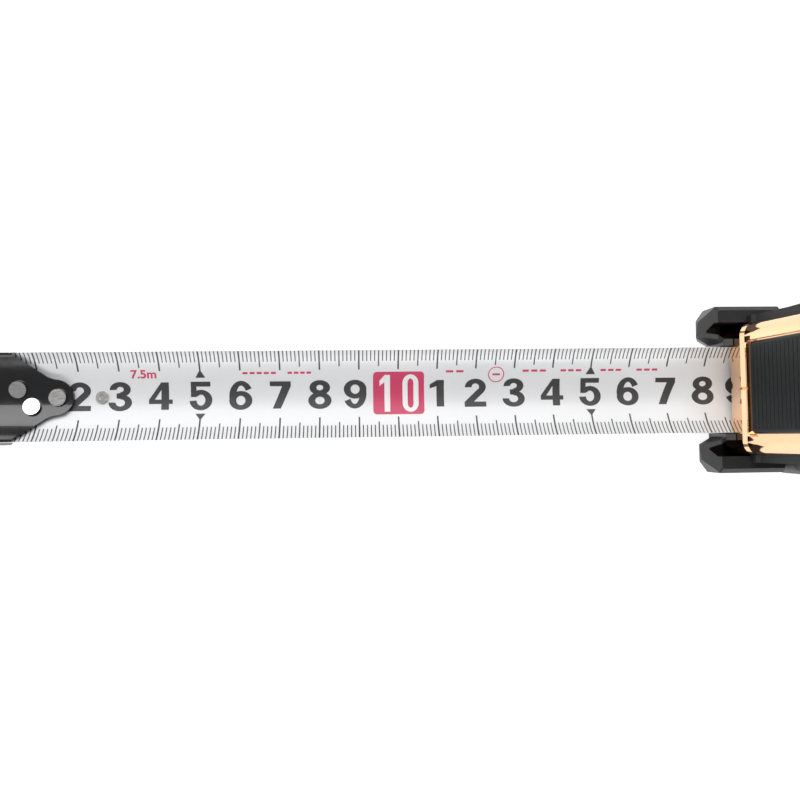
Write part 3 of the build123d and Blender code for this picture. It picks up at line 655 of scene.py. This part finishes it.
reds = Artwork()
reds.slab(*RED_BLOCK, corner=1.0)
reds.text("7.5m", 35.95, 5.8, 6.3, 2.3)
BAR_GROUPS = ((60.6, 69.5, 5), (71.9, 78.3, 4), (112.3, 117.6, 2), (132.2, 138.9, 3),
              (142.1, 148.1, 3), (152.6, 158.6, 3), (162.1, 168.2, 3))
for start, end, count in BAR_GROUPS:
    step = (end - start) / count
    for place in range(count):
        left = start + place * step
        reds.slab(left, left + step * BAR_SHARE, BAR_LOW, BAR_HIGH, corner=0.12)
reds.ring(*RING_MIDDLE, 2.1, 1.85)
reds.slab(124.35, 126.35, 4.7, 5.2, corner=0.1)
reds.rolled("red_marks", red_ink)

TALL_MIDDLE = 0.25
TALL_HALF = 4.8
TALL_ONE = (((-0.1, -TALL_HALF), (1.35, -TALL_HALF), (1.35, TALL_HALF), (-0.1, TALL_HALF)),
            ((-1.35, 1.9), (0.0, 3.0), (0.0, TALL_HALF), (-1.35, 3.3)))
OVAL_WIDE = 2.05
OVAL_HIGH = 2.3
OVAL_STEM = 1.3
OVAL_BEAM = 1.1
OVAL_LAP = 0.1              # the oval's ends stand this far past the figure one's
ONE_MIDDLE = 96.6
ZERO_MIDDLE = 103.2

block_figures = Artwork()
for corners in TALL_ONE:
    block_figures.quad(ONE_MIDDLE, TALL_MIDDLE, corners)
straight = TALL_HALF + OVAL_LAP - OVAL_HIGH
for start, centre_y in ((0, straight), (180, -straight)):
    block_figures.bow(
        ZERO_MIDDLE, TALL_MIDDLE + centre_y, OVAL_WIDE, OVAL_HIGH,
        start, start + 180, OVAL_STEM, OVAL_BEAM,
    )
for side in (-1, 1):
    outer = side * OVAL_WIDE
    inner = side * (OVAL_WIDE - OVAL_STEM)
    corners = ((inner, -straight), (outer, -straight), (outer, straight), (inner, straight))
    block_figures.quad(ZERO_MIDDLE, TALL_MIDDLE, corners)
block_figures.rolled("block_figures", white_ink, layer=1)

# %% [markdown]
# ## Bench and light
#
# The tool lies on a plain white bench that is bright enough to lose its edges. A broad
# window on the far side gives most of the light, a panel beyond the hook lights the
# shell's front, and a weak low panel on the near side opens the shadows. Straight
# overhead it stays dim, which is what keeps the black paint black.


# %% Lay the bench and hang the lamps
BENCH_GREY = 0.55
BENCH_GLOW = 0.85
WORLD_STRENGTH = 0.24


def bench():
    bm = bmesh.new()
    bmesh.ops.create_grid(bm, x_segments=1, y_segments=1, size=3.0)
    mesh = bpy.data.meshes.new("bench")
    bm.to_mesh(mesh)
    bm.free()
    finish = Finish("white_bench", Roughness=0.9, Emission_Strength=BENCH_GLOW)
    finish.shader.inputs["Base Color"].default_value = rgb(BENCH_GREY, BENCH_GREY, BENCH_GREY)
    finish.shader.inputs["Emission Color"].default_value = rgb(1.0, 1.0, 1.0)
    made = piece_from("bench", mesh, finish)


def lamp(name, place, aim, width, height, power, colour=(1.0, 1.0, 1.0)):
    data = bpy.data.lights.new(name, "AREA")
    data.shape = "RECTANGLE"
    data.size = width
    data.size_y = height
    data.energy = power
    data.color = colour
    made = bpy.data.objects.new(name, data)
    made.location = place
    made.rotation_euler = (Vector(aim) - Vector(place)).to_track_quat("-Z", "Y").to_euler()
    bpy.context.scene.collection.objects.link(made)


bench()
middle = (mouth_x - 0.09, 0.0, 0.01)
lamp("window", (mouth_x - 0.25, 1.15, 1.25), middle, 2.2, 1.4, 30.0)
lamp("front_panel", (mouth_x - 1.7, 0.1, 0.75), middle, 2.2, 1.3, 10.0)
lamp("near_panel", (mouth_x + 0.1, -1.5, 0.45), middle, 1.8, 0.5, 16.0)

world = bpy.data.worlds.new("studio")
world.use_nodes = True
world.node_tree.nodes["Background"].inputs["Color"].default_value = rgb(0.97, 0.98, 1.0)
world.node_tree.nodes["Background"].inputs["Strength"].default_value = WORLD_STRENGTH
bpy.context.scene.world = world
bpy.context.scene.view_settings.view_transform = "Standard"
bpy.context.scene.view_settings.look = "None"
